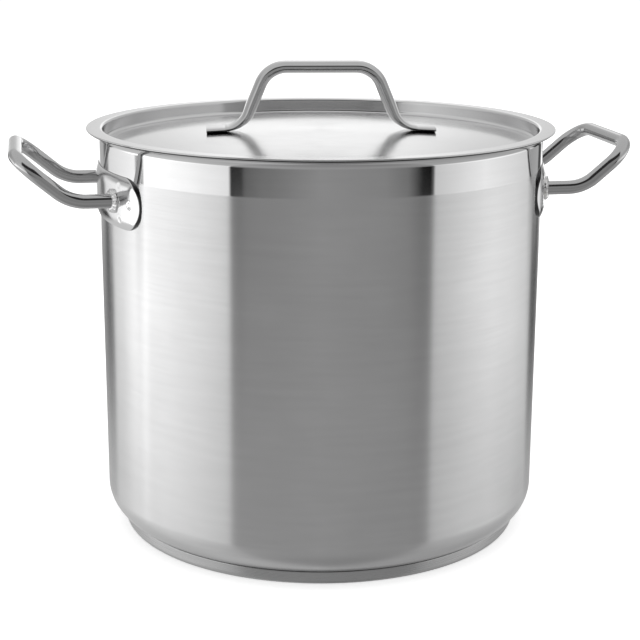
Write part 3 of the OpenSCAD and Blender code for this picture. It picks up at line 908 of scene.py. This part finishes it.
foot_xs = np.linspace(FOOT_END, FOOT_BENDS_AT, FOOT_STEPS)
foot_line = [(x, dome_z(x) + FOOT_T / 2) for x in foot_xs]
low_bend = fillet((FOOT_END, FOOT_CORNER[1] - FOOT_SLOPE), FOOT_CORNER, GRIP_CORNER,
                  LOW_BEND_R, FILLET_STEPS)
high_bend = fillet(FOOT_CORNER, GRIP_CORNER, (0, GRIP_Z), HIGH_BEND_R, FILLET_STEPS)
leg_line = run(low_bend[-1], high_bend[0], 8, 0.6)[1:-1]
top_line = run(high_bend[-1], (0, GRIP_Z), 10, 0.6)[1:]
half_line = foot_line + low_bend + leg_line + high_bend + top_line
grip_line = [np.array(p) for p in half_line + [(-x, z) for x, z in half_line[-2::-1]]]
print("lid handle route has", len(grip_line), "points")

# %% Lid handle mesh
AROUND, OVAL_POWER, SLOT_DEPTH = 56, 0.85, 1.4
# Each crease in a bend: its place on the route, and its depth at the edges of the tube
CREASES = ((high_bend[9], 0.30), (low_bend[15], 0.22))
CREASE_HALF, CREASE_MIDDLE, EDGE_TUCK = 1.1, 0.25, 0.10


def opened(x):
    """0 where the tube is pressed shut in the foot, 1 where it has its full oval section."""
    t = min(1.0, max(0.0, (FOOT_END - FOOT_FLAT_L - abs(x)) / FOOT_OPEN_L))
    return t * t * (3 - 2 * t)


def oval_point(turn, width, thick):
    c, s = math.cos(turn), math.sin(turn)
    return (width / 2 * math.copysign(abs(c) ** OVAL_POWER, c),
            thick / 2 * math.copysign(abs(s) ** OVAL_POWER, s))


def handle_ring(index):
    here = grip_line[index]
    before, after = grip_line[max(index - 1, 0)], grip_line[min(index + 1, len(grip_line) - 1)]
    along = (after - before) / np.linalg.norm(after - before)
    spread = opened(here[0])
    width = FOOT_W + (GRIP_W - FOOT_W) * spread
    thick = FOOT_T + (GRIP_T - FOOT_T) * spread
    ring = []
    for j in range(AROUND):
        across, up = oval_point(TAU * j / AROUND, width, thick)
        if j in (0, AROUND // 2):
            across *= 1 - EDGE_TUCK * (1 - spread)
        for (cx, cz), depth in CREASES:
            gap = math.dist((abs(here[0]), here[1]), (cx, cz))
            if up > 0:
                edge_share = min(1.0, abs(across) / (width / 2)) ** 3
                reached = CREASE_MIDDLE + (1 - CREASE_MIDDLE) * edge_share
                up -= depth * math.exp(-(gap / CREASE_HALF) ** 2) * reached
        ring.append((here[0] - along[1] * up, across, here[1] + along[0] * up))
    return ring, along


def turned_about_axis(point, angle):
    x, y, z = point
    return (x * math.cos(angle) - y * math.sin(angle), x * math.sin(angle) + y * math.cos(angle), z)


def lid_handle_piece():
    points, faces, last = [], [], len(grip_line) - 1
    for i in range(len(grip_line)):
        points += handle_ring(i)[0]
    for i in range(last):
        for j in range(AROUND):
            k = (j + 1) % AROUND
            faces.append((i * AROUND + j, i * AROUND + k, (i + 1) * AROUND + k,
                          (i + 1) * AROUND + j))
    half = AROUND // 2
    for i, inward in ((0, 1), (last, -1)):
        ring, along = handle_ring(i)
        slot = []
        for j in range(1, half):
            up, low = np.array(ring[j]), np.array(ring[AROUND - j])
            middle = (up + low) / 2
            middle[0] += inward * along[0] * SLOT_DEPTH
            middle[2] += inward * along[1] * SLOT_DEPTH
            slot.append(len(points))
            points.append(tuple(middle))
        base = i * AROUND
        middle_line = [base, *slot, base + half]
        for j in range(half):
            faces.append((base + j, base + j + 1, middle_line[j + 1], middle_line[j]))
            low_a, low_b = base + (AROUND - j) % AROUND, base + AROUND - j - 1
            faces.append((low_a, middle_line[j], middle_line[j + 1], low_b))
    faces = [tuple(dict.fromkeys(f)) for f in faces]
    faces = [f for f in faces if len(f) > 2]
    obj = mesh_object("lid_grip", [turned_about_axis(p, LID_TURN) for p in points], (), faces)
    left_open = outward(obj.data)
    obj.data.shade_smooth()
    obj.data.set_sharp_from_angle(angle=math.radians(55))
    obj.data.materials.append(lid_handle_steel)
    print("lid_grip", len(obj.data.polygons), "faces,", left_open, "open edges")
    return obj


grip = lid_handle_piece()
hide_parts("lid_handle")
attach(grip, "lid")

# %% Spot welds under the lid
FOOT_SPOTS = ((6, 6), (6, -6), (16, 0))
lid_spots = []
for side in (-1, 1):
    for inset, y in FOOT_SPOTS:
        x = side * (FOOT_END - inset)
        flat = math.hypot(x, y)
        lid_spots.append(turned_about_axis((x, y, dome_z(flat, LID_SHEET)), LID_TURN))
lid_buttons = grown("lid_spot_buttons", mesh_object("lid_spot_points", lid_spots),
                    spot_tree, spot_ids, weld_steel, On_Wall=0.0)
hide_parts("lid_handle_spot_welds")
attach(lid_buttons, "lid")

# %% [markdown]
# ## Floor and light
# Polished steel shows its surroundings, so the light is most of the picture. The pot stands on
# white, with large white panels left and right, a dim room in front and a white backdrop
# behind. The world paints that studio by direction: four ramps give the light by heading, each
# for one band of elevation, and the bands blend into each other. Only the light is painted this
# way; the steel itself knows nothing of the camera.

# %% Floor
FLOOR_HALF, FLOOR_GLOW = 6000.0, 0.5


def plain_floor():
    corners = [(-1, -1), (1, -1), (1, 1), (-1, 1)]
    floor = mesh_object("floor", [(FLOOR_HALF * x, FLOOR_HALF * y, 0) for x, y in corners],
                        (), [(0, 1, 2, 3)])
    material = bpy.data.materials.new("pale_floor")
    material.use_nodes = True
    shader = material.node_tree.nodes["Principled BSDF"]
    shader.inputs["Base Color"].default_value = (0.93, 0.93, 0.93, 1)
    shader.inputs["Roughness"].default_value = 0.9
    shader.inputs["Specular IOR Level"].default_value = 0.1
    shader.inputs["Emission Color"].default_value = (1, 1, 1, 1)
    shader.inputs["Emission Strength"].default_value = FLOOR_GLOW
    floor.data.materials.append(material)
    floor.visible_glossy = False
    print("floor ready, not seen in reflections")


plain_floor()

# %% Studio world
CAMERA_TURN = 0.19
world = bpy.data.worlds.new("studio")
bpy.context.scene.world = world
world.use_nodes = True
tree = world.node_tree
ray = tree.nodes.new("ShaderNodeTexCoord").outputs["Generated"]
rx, ry, rz = xyz(tree, ray)
cos_t, sin_t = math.cos(CAMERA_TURN), math.sin(CAMERA_TURN)
to_right = calc(tree, "SUBTRACT", calc(tree, "MULTIPLY", rx, cos_t),
                calc(tree, "MULTIPLY", ry, sin_t))
to_front = calc(tree, "MULTIPLY", calc(tree, "ADD", calc(tree, "MULTIPLY", rx, sin_t),
                                       calc(tree, "MULTIPLY", ry, cos_t)), -1.0)
heading = calc(tree, "ADD", calc(tree, "DIVIDE", calc(
    tree, "ARCTAN2", to_right, to_front), TAU), 0.5)
rise = calc(tree, "ARCSINE", calc(tree, "MINIMUM", calc(tree, "MAXIMUM", rz, -1.0), 1.0))
rise_deg = calc(tree, "MULTIPLY", rise, 180 / math.pi)


def ramp_by_heading(stops):
    """A ramp with (degrees from straight in front, level) stops; a ramp holds 32 at most."""
    node = tree.nodes.new("ShaderNodeValToRGB")
    tree.links.new(heading, node.inputs[0])
    elements = node.color_ramp.elements
    while len(elements) < len(stops):
        elements.new(1.0)
    for element, (degrees, level) in zip(elements, stops):
        element.position = degrees / 360 + 0.5
        element.color = (level, level, level, 1)
    node.color_ramp.interpolation = "LINEAR"
    return node.outputs[0]


# What polished steel sees just below the horizon: panels, a dim room in front, dark flags
NEAR = ramp_by_heading([
    (-180, 1.0), (-165, 1.1), (-159, 0.36), (-150, 0.36), (-146, 0.12), (-142, 0.12),
    (-138, 0.65), (-108, 0.88), (-106.5, 0.26), (-101.5, 0.24), (-100, 1.08), (-67, 0.88),
    (-46, 0.72), (-45, 0.0), (-39.5, 0.01), (-37.5, 0.09), (-29, 0.135), (0, 0.24),
    (32, 0.215), (44, 0.15), (50, 0.03), (52, 0.0), (57.5, 0.0), (58.5, 0.54),
    (91, 0.81), (133, 0.58), (135, 0.30), (149, 0.34), (151, 0.05), (156, 0.06),
    (162, 1.05), (180, 1.0)])
# What the brushed wall sees lower down, where the flags end
MIDDLE = ramp_by_heading([
    (-180, 0.3), (-160, 0.24), (-149, 0.12), (-145, 0.02), (-138, 0.02), (-135, 0.62),
    (-124, 0.80), (-108, 1.5), (-103, 1.8), (-98, 1.25), (-84, 1.2), (-67, 1.0),
    (-46, 0.72), (-45, 0.18), (-29, 0.21), (0, 0.255), (57.5, 0.19), (58.5, 0.56),
    (82, 0.90), (100, 1.02), (119, 0.86), (141, 0.54), (144, 0.02), (154, 0.02),
    (160, 0.2), (180, 0.3)])
# What the foot of the wall sees
BELOW = ramp_by_heading([
    (-180, 0.5), (-141, 0.46), (-106, 0.52), (-90, 0.54), (-60, 0.44), (-46, 0.40),
    (-45, 0.32), (-20, 0.29), (20, 0.26), (57.5, 0.25), (58.5, 0.34), (99, 0.40),
    (135, 0.34), (180, 0.5)])
# What is just above the horizon: a narrow white backdrop behind, grey panels at the sides
ABOVE = ramp_by_heading([
    (-180, 0.84), (-176, 0.80), (-172, 0.56), (-167, 0.48), (-150, 0.42), (-125, 0.34),
    (-100, 0.45), (-60, 0.62), (-46, 0.5), (-45, 0.24), (0, 0.24), (57.5, 0.24),
    (58.5, 0.45), (100, 0.42), (125, 0.33), (150, 0.42), (167, 0.46), (172, 0.54),
    (176, 0.78), (180, 0.84)])

# The elevations, in degrees, between which one band gives way to the next
TO_MIDDLE, TO_BELOW, TO_DEEP = (-10.4, -11.0), (-14.0, -21.0), (-25.0, -60.0)
TO_ABOVE, TO_OVERHEAD = (-4.0, 3.0), (21.0, 30.0)
DEEP_SHARE, OVERHEAD, LAMPS, WHITE = 0.8, 0.50, 1.3, 1.05
level = blend_value(tree, step_value(tree, rise_deg, *TO_MIDDLE), NEAR, MIDDLE)
low_share = step_value(tree, rise_deg, *TO_BELOW)
deep = blend_value(tree, step_value(tree, rise_deg, *TO_DEEP), 1.0, DEEP_SHARE)
level = blend_value(tree, low_share, level, calc(tree, "MULTIPLY", BELOW, deep))
level = blend_value(tree, step_value(tree, rise_deg, *TO_ABOVE), level, ABOVE)
level = blend_value(tree, step_value(tree, rise_deg, *TO_OVERHEAD), level, OVERHEAD)

# A black cloth hangs high in front; it puts a dark line along the upper side of the handles
CLOTH_LOW, CLOTH_HIGH, CLOTH_SIDES, CLOTH_DEPTH = (22.0, 32.0), (68.0, 58.0), (0.16, 0.14), 0.95
off_front = calc(tree, "ABSOLUTE", calc(tree, "SUBTRACT", heading, 0.5))
cloth = calc(tree, "MULTIPLY", calc(
    tree, "MULTIPLY", step_value(tree, rise_deg, *CLOTH_LOW),
    step_value(tree, rise_deg, *CLOTH_HIGH)), step_value(tree, off_front, *CLOTH_SIDES))
level = calc(tree, "MULTIPLY", level, calc(
    tree, "SUBTRACT", 1.0, calc(tree, "MULTIPLY", cloth, CLOTH_DEPTH)))
level = calc(tree, "MULTIPLY", level, LAMPS)

# The camera and matt surfaces see plain white, so the painted bands show only in the steel
seen = tree.nodes.new("ShaderNodeLightPath")
not_glossy = calc(tree, "MAXIMUM", seen.outputs["Is Camera Ray"],
                  seen.outputs["Is Diffuse Ray"])
level = blend_value(tree, not_glossy, level, WHITE)
plug(tree, level, tree.nodes["Background"].inputs["Color"])
print("studio world ready")

# %% [markdown]
# ## Camera
# The camera stands about a metre away, a little above the rim and turned so that the left
# handle comes forward, and looks at the middle of the wall through a long lens.

# %% Camera
DISTANCE, CAM_HEIGHT, AIM_HEIGHT, ROLL = 1.0549, 0.4182, 0.1394, 0.0042
LENS, SENSOR = 86.77, 36.0
camera_data = bpy.data.cameras.new("camera")
camera_data.lens, camera_data.sensor_width = LENS, SENSOR
camera = bpy.data.objects.new("camera", camera_data)
bpy.context.collection.objects.link(camera)
stand = Vector((-DISTANCE * math.sin(CAMERA_TURN), -DISTANCE * math.cos(CAMERA_TURN),
                CAM_HEIGHT))
look = Vector((0, 0, AIM_HEIGHT)) - stand
camera.location = stand
camera.rotation_euler = look.to_track_quat("-Z", "Y").to_euler()
camera.rotation_euler.rotate_axis("Z", ROLL)
camera_data.clip_start, camera_data.clip_end = 0.05, 50
bpy.context.scene.camera = camera
bpy.context.scene.view_settings.view_transform = "Standard"
print("camera at", [round(c, 3) for c in stand])
